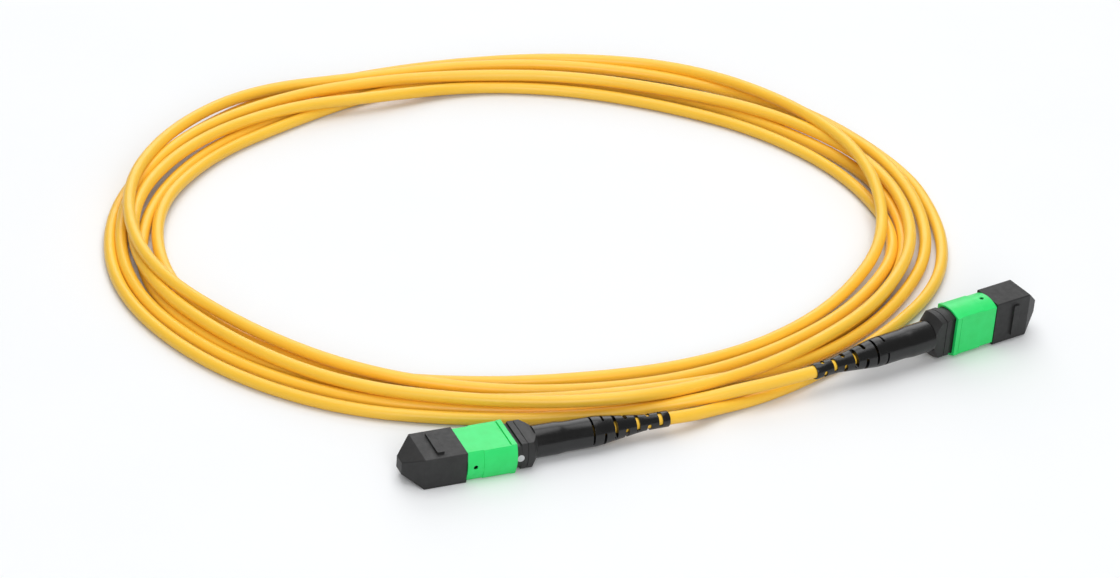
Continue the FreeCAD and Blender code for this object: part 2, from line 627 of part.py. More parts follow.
def main():
    os.makedirs("parts", exist_ok=True)
    near = Placement(Vector(-PLUG_CENTRE, 0, NEAR_AXIS), Rotation())
    yaw = Rotation(Vector(0, 0, 1), FAR_YAW)
    roll = Rotation(Vector(1, 0, 0), FAR_ROLL)
    far = Placement(Vector(FAR_SLEEVE_FRONT[0], FAR_SLEEVE_FRONT[1], FAR_AXIS), yaw * roll)
    pieces = plug_pieces()
    nodes = {}
    for end, place in (("near", near), ("far", far)):
        for name, shape in pieces.items():
            placed = shape.copy()
            placed.Placement = place * shape.Placement
            nodes[end + "_" + name] = placed
    exit_place = Vector(BOOT_REAR, 0, 0)
    nodes["near_lead"] = lead_tube("near_lead", near.multVec(exit_place), NEAR_LEAD)
    nodes["far_lead"] = lead_tube("far_lead", far.multVec(exit_place), FAR_LEAD)
    nodes["cable_coil"] = make_coil()
    for name, shape in nodes.items():
        shape.exportStep("parts/%s.step" % name)
        print(name, shape.ShapeType, len(shape.Solids), shape.isValid(), "%.1f" % shape.Volume)


main()
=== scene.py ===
"""Looks of a coiled fibre patch cord with a multi-fibre push-on plug at each end.

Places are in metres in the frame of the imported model. A plug's own frame has x from the
mating end to the cable, y across the wide faces and z along the thickness, in millimetres.
"""
import logging
import math
from dataclasses import dataclass, field
from enum import Enum
from typing import Optional, Sequence, Union

import bmesh
import bpy
from mathutils import Euler, Matrix, Quaternion, Vector


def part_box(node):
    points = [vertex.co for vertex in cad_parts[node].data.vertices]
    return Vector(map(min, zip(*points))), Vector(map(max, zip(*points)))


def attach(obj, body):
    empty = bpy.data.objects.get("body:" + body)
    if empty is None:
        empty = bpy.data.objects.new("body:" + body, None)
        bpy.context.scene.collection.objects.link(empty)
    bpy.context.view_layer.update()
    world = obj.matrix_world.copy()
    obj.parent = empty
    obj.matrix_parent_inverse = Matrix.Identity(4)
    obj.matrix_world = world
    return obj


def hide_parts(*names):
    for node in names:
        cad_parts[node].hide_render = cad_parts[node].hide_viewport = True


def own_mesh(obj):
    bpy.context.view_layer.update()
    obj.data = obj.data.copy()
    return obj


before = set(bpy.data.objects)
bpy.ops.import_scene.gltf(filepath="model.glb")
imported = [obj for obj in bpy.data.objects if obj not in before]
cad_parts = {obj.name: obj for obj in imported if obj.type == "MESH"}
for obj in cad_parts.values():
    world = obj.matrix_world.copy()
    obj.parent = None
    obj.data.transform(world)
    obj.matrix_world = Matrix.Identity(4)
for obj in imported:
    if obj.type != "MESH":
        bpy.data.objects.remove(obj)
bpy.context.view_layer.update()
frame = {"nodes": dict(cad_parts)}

log = logging.getLogger("patch_cord")
MM = 0.001
Colour = tuple[float, float, float]
Socket = bpy.types.NodeSocket


class End(Enum):
    """The two plugs of the cord."""

    NEAR = "near"
    FAR = "far"


class Texture(Enum):
    """Surface relief that a moulded plastic can carry."""

    POLISHED = "polished"
    SATIN = "satin"
    SPARK_GRAIN = "spark_grain"


def linear(red: int, green: int, blue: int) -> Colour:
    """A colour written as on a screen, 0 to 255, turned into light values.

    Args:
        red: Red, 0 to 255.
        green: Green, 0 to 255.
        blue: Blue, 0 to 255.

    Returns:
        The colour for a shader.
    """
    parts = []
    for value in (red, green, blue):
        share = value / 255
        parts.append(share / 12.92 if share <= 0.04045 else ((share + 0.055) / 1.055) ** 2.4)
    return (parts[0], parts[1], parts[2])


@dataclass(frozen=True)
class PlugFrame:
    """Where a plug stands in the model.

    Attributes:
        origin: The plug's own origin, in metres.
        turn: The rotation from the plug's frame to the model's.
    """

    origin: Vector
    turn: Matrix

    def point(self, x: float, y: float, z: float) -> Vector:
        """A place in the model, in metres, of a place in the plug's frame in millimetres."""
        return self.origin + self.turn @ (Vector((x, y, z)) * MM)

    def matrix(self) -> Matrix:
        """The plug frame, in millimetres, as one matrix into the model."""
        return Matrix.Translation(self.origin) @ self.turn.to_4x4() @ Matrix.Scale(MM, 4)


class Bench:
    """One material's nodes, with a short call for each kind that the finishes use."""

    def __init__(self, name: str) -> None:
        """Start a material.

        Args:
            name: The material's name.
        """
        self.material = bpy.data.materials.new(name)
        self.material.use_nodes = True
        self.tree = self.material.node_tree
        self.shader = self.tree.nodes["Principled BSDF"]
        self.output = self.tree.nodes["Material Output"]

    def node(self, kind: str, **settings: object) -> bpy.types.Node:
        """Add a node and set its plain properties.

        Args:
            kind: The node's type name.
            **settings: Properties to set on it.

        Returns:
            The new node.
        """
        made = self.tree.nodes.new(kind)
        for key, value in settings.items():
            setattr(made, key, value)
        return made

    def link(self, source: Socket, target: Socket) -> None:
        """Join an output to an input."""
        self.tree.links.new(source, target)

    def place(self, plug: Optional[PlugFrame] = None,
              stretch: Sequence[float] = (1.0, 1.0, 1.0)) -> Socket:
        """Coordinates in millimetres, in the model's frame or a plug's.

        Args:
            plug: The plug whose frame is used, or None for the model's.
            stretch: How long the pattern is along each axis.

        Returns:
            The vector output.
        """
        source = self.node("ShaderNodeTexCoord").outputs["Object"]
        into = self.node("ShaderNodeMapping", vector_type="TEXTURE")
        into.inputs["Scale"].default_value = (MM, MM, MM)
        if plug is not None:
            into.inputs["Location"].default_value = plug.origin
            into.inputs["Rotation"].default_value = plug.turn.to_euler("XYZ")
        self.link(source, into.inputs["Vector"])
        scaled = self.node("ShaderNodeMapping", vector_type="TEXTURE")
        scaled.inputs["Scale"].default_value = stretch
        self.link(into.outputs["Vector"], scaled.inputs["Vector"])
        return scaled.outputs["Vector"]

    def noise(self, where: Socket, size: float, detail: float = 3.0) -> Socket:
        """Cloudy noise.

        Args:
            where: Coordinates in millimetres.
            size: The width of a patch in millimetres.
            detail: How many finer layers it has.

        Returns:
            The value output, about 0 to 1.
        """
        made = self.node("ShaderNodeTexNoise")
        made.inputs["Scale"].default_value = 1.0 / size
        made.inputs["Detail"].default_value = detail
        self.link(where, made.inputs["Vector"])
        return made.outputs["Fac"]

    def spread(self, value: Socket, low: float, high: float,
               start: float = 0.0, end: float = 1.0) -> Socket:
        """Stretch a value's range onto another.

        Args:
            value: The value.
            low: The input that gives start.
            high: The input that gives end.
            start: The output at low.
            end: The output at high.

        Returns:
            The result output.
        """
        made = self.node("ShaderNodeMapRange")
        made.inputs["From Min"].default_value = low
        made.inputs["From Max"].default_value = high
        made.inputs["To Min"].default_value = start
        made.inputs["To Max"].default_value = end
        self.link(value, made.inputs["Value"])
        return made.outputs["Result"]

    def tint(self, share: Socket, first: Colour, second: Colour) -> Socket:
        """Mix two colours by a share.

        Args:
            share: 0 for first, 1 for second.
            first: A colour.
            second: A colour.

        Returns:
            The colour output.
        """
        made = self.node("ShaderNodeMix", data_type="RGBA")
        self.colour_input(made, "A").default_value = (*first, 1.0)
        self.colour_input(made, "B").default_value = (*second, 1.0)
        self.link(share, made.inputs[0])
        for socket in made.outputs:
            if socket.identifier == "Result_Color":
                return socket
        return made.outputs[0]

    def colour_input(self, mix: bpy.types.Node, side: str) -> Socket:
        """The colour input A or B of a mix of two colours."""
        return next(socket for socket in mix.inputs if socket.identifier == f"{side}_Color")

    def bump(self, height: Socket, depth: float, strength: float = 1.0,
             under: Optional[Socket] = None) -> Socket:
        """Relief from a height.

        Args:
            height: The height, 0 to 1.
            depth: How deep the relief is, in millimetres.
            strength: How much of it shows.
            under: A normal to start from.

        Returns:
            The normal output.
        """
        made = self.node("ShaderNodeBump")
        made.inputs["Distance"].default_value = depth * MM
        made.inputs["Strength"].default_value = strength
        self.link(height, made.inputs["Height"])
        if under is not None:
            self.link(under, made.inputs["Normal"])
        return made.outputs["Normal"]

    def soft_edge(self, radius: float) -> Socket:
        """The normal of edges broken by a small radius.

        Args:
            radius: The edge radius in millimetres.

        Returns:
            The normal output.
        """
        made = self.node("ShaderNodeBevel", samples=4)
        made.inputs["Radius"].default_value = radius * MM
        return made.outputs["Normal"]

    def set(self, **values: object) -> None:
        """Set the shader's own inputs, spaces in their names written as underscores."""
        for key, value in values.items():
            self.shader.inputs[key.replace("_", " ")].default_value = value


@dataclass(frozen=True)
class MouldedPlastic:
    """A moulded plastic.

    Attributes:
        name: The finish's name.
        colour: Its colour.
        shade: The darker tone that it drifts to.
        roughness: Its mean roughness.
        texture: The relief of its mould.
        grain: The size of that relief in millimetres.
        depth: The depth of that relief in millimetres.
        edge: The radius that breaks its edges, in millimetres.
        specular: Strength of its gloss.
        translucence: How far light travels in it, 0 to 1.
    """

    name: str
    colour: Colour
    shade: Colour
    roughness: float
    texture: Texture = Texture.SATIN
    grain: float = 0.12
    depth: float = 0.006
    edge: float = 0.12
    specular: float = 0.5
    translucence: float = 0.0

    def material(self, plug: PlugFrame, label: str) -> bpy.types.Material:
        """Build the material.

        Args:
            plug: The plug that the piece belongs to.
            label: What tells this plug's material from the other's.

        Returns:
            The material.
        """
        bench = Bench(f"{self.name}_{label}")
        where = bench.place(plug)
        cloud = bench.spread(bench.noise(where, size=3.2, detail=4.0), low=0.35, high=0.65)
        bench.link(bench.tint(cloud, self.colour, self.shade), bench.shader.inputs["Base Color"])
        sheen = bench.noise(where, size=1.1, detail=5.0)
        low, high = self.roughness * 0.88, min(1.0, self.roughness * 1.12)
        bench.link(bench.spread(sheen, 0.3, 0.7, low, high), bench.shader.inputs["Roughness"])
        bench.set(Specular_IOR_Level=self.specular)
        if self.translucence:
            bench.set(Subsurface_Weight=self.translucence, Subsurface_Radius=(0.6, 1.0, 0.5),
                      Subsurface_Scale=0.6 * MM)
        normal = bench.soft_edge(self.edge)
        if self.texture is Texture.SPARK_GRAIN:
            pits = bench.noise(where, self.grain, detail=6.0)
            normal = bench.bump(pits, self.depth, strength=1.0, under=normal)
        elif self.texture is Texture.SATIN:
            ripple = bench.noise(where, self.grain * 3, detail=3.0)
            normal = bench.bump(ripple, self.depth, strength=0.6, under=normal)
        else:
            flow = bench.noise(where, size=2.0, detail=2.0)
            normal = bench.bump(flow, self.depth, strength=0.5, under=normal)
        bench.link(normal, bench.shader.inputs["Normal"])
        return bench.material


@dataclass(frozen=True)
class DrawnMetal:
    """Spring wire or a turned metal ring.

    Attributes:
        name: The finish's name.
        colour: Its colour.
        worn: The tone of its rubbed streaks.
        roughness: Its roughness.
        streak: The length of a drawing streak against its width.
    """

    name: str
    colour: Colour
    worn: Colour
    roughness: float
    streak: float = 8.0

    def material(self, plug: PlugFrame, label: str) -> bpy.types.Material:
        """Build the material.

        Args:
            plug: The plug that the piece belongs to.
            label: What tells this plug's material from the other's.

        Returns:
            The material.
        """
        bench = Bench(f"{self.name}_{label}")
        where = bench.place(plug, (1.0, self.streak, self.streak))
        lines = bench.noise(where, size=0.12, detail=4.0)
        share = bench.spread(lines, low=0.35, high=0.7)
        bench.link(bench.tint(share, self.colour, self.worn), bench.shader.inputs["Base Color"])
        rough = bench.spread(lines, 0.3, 0.7, self.roughness * 0.8, self.roughness * 1.3)
        bench.link(rough, bench.shader.inputs["Roughness"])
        bench.set(Metallic=1.0)
        relief = bench.bump(lines, depth=0.004, strength=0.6)
        bench.link(relief, bench.shader.inputs["Normal"])
        return bench.material


@dataclass(frozen=True)
class FibreStrands:
    """Yarn or ribbon of strands that run along the plug.

    Attributes:
        name: The finish's name.
        colour: The strands' colour.
        groove_shade: The darker colour between them, which is painted shade in the grooves.
        pitch: Their spacing in millimetres.
        wander: How far they wander, 0 for a straight ribbon.
        roughness: Their roughness.
        clear: How clear the ribbon is, 0 to 1.
    """

    name: str
    colour: Colour
    groove_shade: Colour
    pitch: float
    wander: float
    roughness: float
    clear: float = 0.0

    def material(self, plug: PlugFrame, label: str) -> bpy.types.Material:
        """Build the material.

        Args:
            plug: The plug that the piece belongs to.
            label: What tells this plug's material from the other's.

        Returns:
            The material.
        """
        bench = Bench(f"{self.name}_{label}")
        where = bench.place(plug)
        bands = bench.node("ShaderNodeTexWave", bands_direction="Y")
        bands.inputs["Scale"].default_value = math.pi / (10 * self.pitch)
        bands.inputs["Distortion"].default_value = self.wander
        bands.inputs["Detail"].default_value = 3.0
        bands.inputs["Detail Scale"].default_value = 0.4
        bench.link(where, bands.inputs["Vector"])
        lines = bands.outputs["Fac"]
        # The darker colour between the strands is painted shade in the grooves between them.
        bench.link(bench.tint(lines, self.groove_shade, self.colour), bench.shader.inputs["Base Color"])
        rough = bench.spread(lines, 0.0, 1.0, self.roughness * 1.2, self.roughness)
        bench.link(rough, bench.shader.inputs["Roughness"])
        bench.set(Transmission_Weight=self.clear)
        relief = bench.bump(lines, depth=0.05, strength=0.8)
        bench.link(relief, bench.shader.inputs["Normal"])
        return bench.material


@dataclass(frozen=True)
class Jacket:
    """The extruded jacket of the cable.

    Attributes:
        name: The finish's name.
        colour: The jacket's colour.
        shade: The tone that it drifts to.
        roughness: Its mean roughness.
    """

    name: str
    colour: Colour
    shade: Colour
    roughness: float

    def material(self) -> bpy.types.Material:
        """Build the material.

        Returns:
            The material.
        """
        bench = Bench(self.name)
        where = bench.place()
        drift = bench.spread(bench.noise(where, size=18.0, detail=3.0), low=0.35, high=0.65)
        bench.link(bench.tint(drift, self.colour, self.shade), bench.shader.inputs["Base Color"])
        rough = bench.noise(where, size=2.4, detail=4.0)
        low, high = self.roughness * 0.85, self.roughness * 1.2
        bench.link(bench.spread(rough, 0.3, 0.7, low, high), bench.shader.inputs["Roughness"])
        bench.set(Specular_IOR_Level=0.5, Subsurface_Weight=0.05,
                  Subsurface_Radius=(1.0, 0.8, 0.35), Subsurface_Scale=0.5 * MM)
        grain = bench.noise(where, size=0.3, detail=5.0)
        wave = bench.noise(where, size=5.0, detail=1.0)
        skin = bench.bump(grain, depth=0.005, strength=0.5)
        skin = bench.bump(wave, depth=0.02, strength=0.3, under=skin)
        bench.link(skin, bench.shader.inputs["Normal"])
        return bench.material


BLACK_CAP = MouldedPlastic("cap_black", linear(33, 33, 33), linear(28, 28, 28), 0.55,
                           Texture.SPARK_GRAIN, grain=0.10, depth=0.012, edge=0.1)
GREEN_SLEEVE = MouldedPlastic("coupling_green", linear(42, 229, 117), linear(36, 223, 109), 0.38,
                              Texture.SATIN, grain=0.2, depth=0.006, edge=0.14,
                              translucence=0.15)
BLACK_HOUSING = MouldedPlastic("housing_black", linear(31, 31, 31), linear(26, 26, 26), 0.5,
                               Texture.SPARK_GRAIN, grain=0.09, depth=0.008)
GREY_FERRULE = MouldedPlastic("ferrule_grey", linear(92, 84, 74), linear(80, 72, 62), 0.3,
                              Texture.POLISHED, depth=0.004, edge=0.05)
SEAL_RUBBER = MouldedPlastic("seal_rubber", linear(30, 30, 30), linear(24, 24, 24), 0.7,
                             Texture.SATIN, grain=0.15, depth=0.01, edge=0.08)
SPACER_PLASTIC = MouldedPlastic("spacer_plastic", linear(206, 202, 190), linear(196, 190, 176),
                                0.4, Texture.SATIN, edge=0.08)
BOOT_RUBBER = MouldedPlastic("boot_rubber", linear(12, 12, 12), linear(9, 9, 9), 0.24,
                             Texture.POLISHED, depth=0.02, edge=0.1)
DOT_PAINT = MouldedPlastic("dot_paint", linear(206, 208, 210), linear(186, 188, 190), 0.5,
                           Texture.SPARK_GRAIN, grain=0.15, depth=0.01, edge=0.02)
GLASS_FIBRE = MouldedPlastic("glass_fibre", linear(196, 210, 214), linear(150, 168, 176), 0.08,
                             Texture.POLISHED, depth=0.001, edge=0.01)
SPRING_STEEL = DrawnMetal("spring_steel", linear(178, 178, 176), linear(206, 206, 204), 0.3)
CRIMP_METAL = DrawnMetal("crimp_metal", linear(196, 190, 178), linear(220, 216, 206), 0.28, 3.0)
ARAMID = FibreStrands("aramid_yellow", linear(226, 188, 74), linear(150, 112, 30), 0.12, 2.5, 0.6)
RIBBON = FibreStrands("ribbon_clear", linear(214, 224, 226), linear(150, 160, 166), 0.25, 0.0,
                      0.2, 0.4)
YELLOW_JACKET = Jacket("jacket_yellow", linear(255, 203, 64), linear(252, 198, 58), 0.36)


@dataclass(frozen=True)
class Lamp:
    """A square soft lamp that faces what the camera looks at.

    Attributes:
        name: Its name.
        place: Where it hangs, in metres.
        size: Its side in metres.
        power: Its power in watts.
    """

    name: str
    place: tuple[float, float, float]
    size: float
    power: float


@dataclass
class Studio:
    """The pale floor, the soft lamps and the camera.

    Attributes:
        floor_reach: Half the floor's side in metres.
        floor_colour: The floor's colour under the object.
        floor_shade: The tone that it drifts to.
        floor_bounce: Its colour for the light that it throws back.
        world_level: The strength of light from all round.
        eye: The camera's place.
        aim: What it looks at.
        lens: Its focal length in millimetres, on a sensor 36 mm wide.
        tilt: How far it is turned about its line of sight, in degrees.
        lamps: The lamps.
    """

    floor_reach: float = 4.0
    floor_colour: Colour = linear(245, 246, 247)
    floor_shade: Colour = linear(242, 244, 246)
    floor_bounce: Colour = linear(200, 201, 204)
    world_level: float = 0.29
    eye: tuple[float, float, float] = (-0.31266, -0.68023, 0.50903)
    aim: tuple[float, float, float] = (0.03294, 0.06437, 0.0)
    lens: float = 128.57
    tilt: float = 4.748
    lamps: Sequence[Lamp] = (
        Lamp("lamp_over", (0.08, 0.22, 1.25), size=1.1, power=8.7),
        Lamp("lamp_back", (0.4, 1.15, 0.75), size=1.0, power=6.2),
        Lamp("lamp_front", (-0.25, -1.1, 0.7), size=0.9, power=9.2),
    )

    def camera(self) -> None:
        """Set the camera."""
        data = bpy.data.cameras.new("studio_camera")
        data.sensor_fit = "HORIZONTAL"
        data.sensor_width = 36.0
        data.lens = self.lens
        data.clip_start = 0.01
        camera = bpy.data.objects.new("studio_camera", data)
        camera.location = self.eye
        look = (Vector(self.aim) - Vector(self.eye)).to_track_quat("-Z", "Y")
        tilt = Quaternion((0.0, 0.0, 1.0), math.radians(self.tilt))
        camera.rotation_euler = (look @ tilt).to_euler()
        bpy.context.collection.objects.link(camera)
        bpy.context.scene.camera = camera
        log.info("camera set")

    def hang(self, lamp: Lamp) -> None:
        """Add one lamp.

        Args:
            lamp: The lamp.
        """
        data = bpy.data.lights.new(lamp.name, "AREA")
        data.shape = "SQUARE"
        data.size = lamp.size
        data.energy = lamp.power
        made = bpy.data.objects.new(lamp.name, data)
        made.location = lamp.place
        look = Vector(self.aim) - Vector(lamp.place)
        made.rotation_euler = look.to_track_quat("-Z", "Y").to_euler()
        bpy.context.collection.objects.link(made)
        log.info("%s hung", lamp.name)

    def pale_rays(self, bench: Bench) -> Socket:
        """Tell the rays that show the pale ground: from the eye, a mirror or through glass.

        Args:
            bench: The floor's material.

        Returns:
            An output that is 1 for those rays and 0 for others.
        """
        path = bench.node("ShaderNodeLightPath")
        first = bench.node("ShaderNodeMath", operation="MAXIMUM")
        bench.link(path.outputs["Is Camera Ray"], first.inputs[0])
        bench.link(path.outputs["Is Glossy Ray"], first.inputs[1])
        second = bench.node("ShaderNodeMath", operation="MAXIMUM")
        bench.link(first.outputs[0], second.inputs[0])
        bench.link(path.outputs["Is Transmission Ray"], second.inputs[1])
        return second.outputs[0]

    def floor(self) -> None:
        """Lay the floor, which keeps the object's shadow over a pale ground."""
        reach = self.floor_reach
        mesh = bpy.data.meshes.new("studio_floor")
        corners = [(-reach, -reach, 0), (reach, -reach, 0), (reach, reach, 0), (-reach, reach, 0)]
        mesh.from_pydata(corners, [], [(0, 1, 2, 3)])
        floor = bpy.data.objects.new("studio_floor", mesh)
        bpy.context.collection.objects.link(floor)
        bench = Bench("floor_pale")
        paper = bench.noise(bench.place(), size=40.0, detail=4.0)
        tone = bench.tint(paper, self.floor_colour, self.floor_shade)
        pale = self.pale_rays(bench)
        seen = bench.tint(pale, self.floor_bounce, self.floor_colour)
        bench.link(tone, bench.colour_input(seen.node, "B"))
        bench.link(seen, bench.shader.inputs["Base Color"])
        bench.set(Roughness=0.9, Specular_IOR_Level=0.1)
        mesh.materials.append(bench.material)
        log.info("floor laid")

    def surround(self) -> None:
        """Light from all round, even and neutral."""
        world = bpy.data.worlds.new("studio_world")
        world.use_nodes = True
        sky = world.node_tree.nodes["Background"]
        sky.inputs["Color"].default_value = (1.0, 1.0, 1.0, 1.0)
        sky.inputs["Strength"].default_value = self.world_level
        bpy.context.scene.world = world

    def build(self) -> None:
        """Set the floor, the world and the lamps."""
        bpy.context.scene.view_settings.view_transform = "Standard"
        self.surround()
        self.floor()
        for lamp in self.lamps:
            self.hang(lamp)


@dataclass
class PatchCable:
    """The yellow cable: a lead from each boot and loose turns between them.

    Attributes:
        exit: Where it leaves the near boot, in metres.
        arrival: Where it enters the far boot, in metres.
        diameter: The jacket's diameter in metres.
        length: Its length between the boots in metres; not used.
        centre: The middle of the turns, in millimetres.
        near_lead: The route from the near boot to the turns, in millimetres.
        far_lead: The route from the far boot to the turns, in millimetres.
        stations: How many points a turn has.
        turns: Radius and height of each turn at its stations, in millimetres. Most of the
            radii were worked out by a program outside this file, and the rest by hand.
        steps: How finely each stretch of the curve is drawn.
        roundness: How finely its round section is drawn.
    """

    exit: Vector
    arrival: Vector
    diameter: float = 0.003
    length: float = 3.33
    centre: tuple[float, float] = (33.6, 90.7)
    near_lead: Sequence[tuple[float, float, float]] = (
        (39.4, 0.4, 3.4), (47.2, 3.1, 2.0), (57.5, 4.6, 1.6),
        (70.5, 8.3, 1.55), (85.5, 14.3, 1.55), (102.0, 23.2, 1.55),
        (118.5, 35.0, 1.55), (129.5, 49.0, 1.55), (136.5, 67.5, 1.55),
    )
    far_lead: Sequence[tuple[float, float, float]] = (
        (66.8, 4.6, 6.05), (60.0, 4.3, 5.7), (52.5, 4.6, 5.1),
        (44.5, 4.8, 4.2), (33.0, 6.6, 2.7),
    )
    stations: int = 18
    turns: Sequence[Sequence[tuple[float, float]]] = field(default_factory=lambda: (
        ((104.0, 1.6), (99.5, 1.6), (92.5, 1.6), (84.0, 1.6), (78.5, 1.6), (77.3, 1.6),
         (78.5, 1.6), (85.0, 1.6), (91.5, 1.6), (95.5, 1.6), (92.0, 1.6), (84.8, 1.6),
         (79.2, 2.0), (79.0, 4.7), (80.8, 4.6), (86.2, 1.8), (93.0, 1.6), (100.4, 1.8)),
        ((100.5, 4.5), (96.5, 2.6), (88.8, 2.6), (81.5, 3.7), (77.4, 4.5), (78.5, 4.5),
         (88.7, 4.6), (93.7, 5.8), (96.4, 7.5), (94.8, 7.3), (86.2, 5.2), (80.9, 4.5),
         (75.2, 2.7), (72.3, 1.6), (73.7, 1.6), (77.6, 1.6), (84.7, 1.6), (92.1, 1.6)),
        ((89.0, 1.6), (82.2, 1.6), (75.0, 1.6), (71.7, 1.6), (70.6, 1.6), (69.2, 3.8),
         (77.3, 4.6), (87.1, 4.6), (94.5, 4.5), (95.8, 4.5), (91.5, 4.6), (87.8, 4.6),
         (83.2, 4.9), (83.2, 6.2), (83.4, 5.8), (84.6, 4.6), (90.3, 4.5), (96.2, 4.5)),
        ((96.0, 4.5), (88.2, 4.5), (78.6, 4.5), (73.9, 4.5), (72.3, 4.5), (75.5, 4.5),
         (82.3, 4.5), (90.8, 4.5), (97.3, 3.6), (99.3, 1.6), (95.3, 1.6), (89.1, 1.6),
         (82.4, 1.6), (79.8, 1.6), (79.3, 1.6), (82.0, 1.6), (89.1, 1.6), (94.9, 1.6)),
        ((94.6, 1.6), (87.1, 1.6), (81.3, 1.6), (77.0, 1.6), (75.0, 1.6), (73.8, 1.6),
         (74.9, 1.6), (82.0, 1.7), (88.6, 2.9), (90.1, 1.8), (86.0, 1.6), (78.8, 1.6),
         (70.9, 1.6), (67.4, 1.6), (69.1, 1.6), (73.9, 1.6), (80.6, 1.8), (89.0, 3.8)),
        ((92.6, 7.7), (92.4, 6.5), (90.6, 4.9), (84.0, 4.6), (82.8, 2.0), (83.5, 1.6),
         (88.0, 1.6), (93.5, 1.6), (99.8, 1.6), (102.5, 1.6), (99.5, 1.6), (93.8, 1.6),
         (86.3, 1.6), (82.3, 1.9)),
    ))
    steps: int = 12
    roundness: int = 7

    def route(self) -> list[Vector]:
        """The control points of the whole cable.

        The curve passes inside its control points, by an eighth of how far each stands out
        from its two neighbours. So each is pulled outwards until the curve itself passes at
        the radii of the turns.

        Returns:
            The points in metres, from the near boot to the far one.
        """
        points = [self.exit]
        points += [Vector(place) * MM for place in self.near_lead]
        step = 2 * math.pi / self.stations
        lay = [pair for turn in self.turns for pair in turn]
        for index, (radius, height) in enumerate(lay):
            beside = [lay[index + side][0] if 0 < index < len(lay) - 1 else radius
                      for side in (-1, 1)]
            pull = (radius + (2 * radius - sum(beside)) / 8) / math.cos(step / 2)
            place = (self.centre[0] + pull * math.cos(step * index),
                     self.centre[1] + pull * math.sin(step * index), height)
            points.append(Vector(place) * MM)
        points += [Vector(place) * MM for place in reversed(self.far_lead)]
        points.append(self.arrival)
        return points

    def build(self, carried: Sequence[bpy.types.Object]) -> bpy.types.Object:
        """Lay the cable as one smooth curve.

        Args:
            carried: The pieces of the plug at its far end; not used.

        Returns:
            The cable.
        """
        points = self.route()
        curve = bpy.data.curves.new("patch_cable", "CURVE")
        curve.dimensions = "3D"
        spline = curve.splines.new("NURBS")
        spline.points.add(len(points) - 1)
        for knot, place in zip(spline.points, points):
            knot.co = (*place, 1.0)
        spline.order_u = 3
        spline.use_endpoint_u = True
        curve.resolution_u = self.steps
        curve.bevel_depth = self.diameter / 2
        curve.bevel_resolution = self.roundness
        curve.materials.append(YELLOW_JACKET.material())
        cable = bpy.data.objects.new("patch_cable", curve)
        bpy.context.collection.objects.link(cable)
        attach(cable, "cord")
        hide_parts("near_lead", "cable_coil", "far_lead")
        log.info("cable laid through %d points", len(points))
        return cable


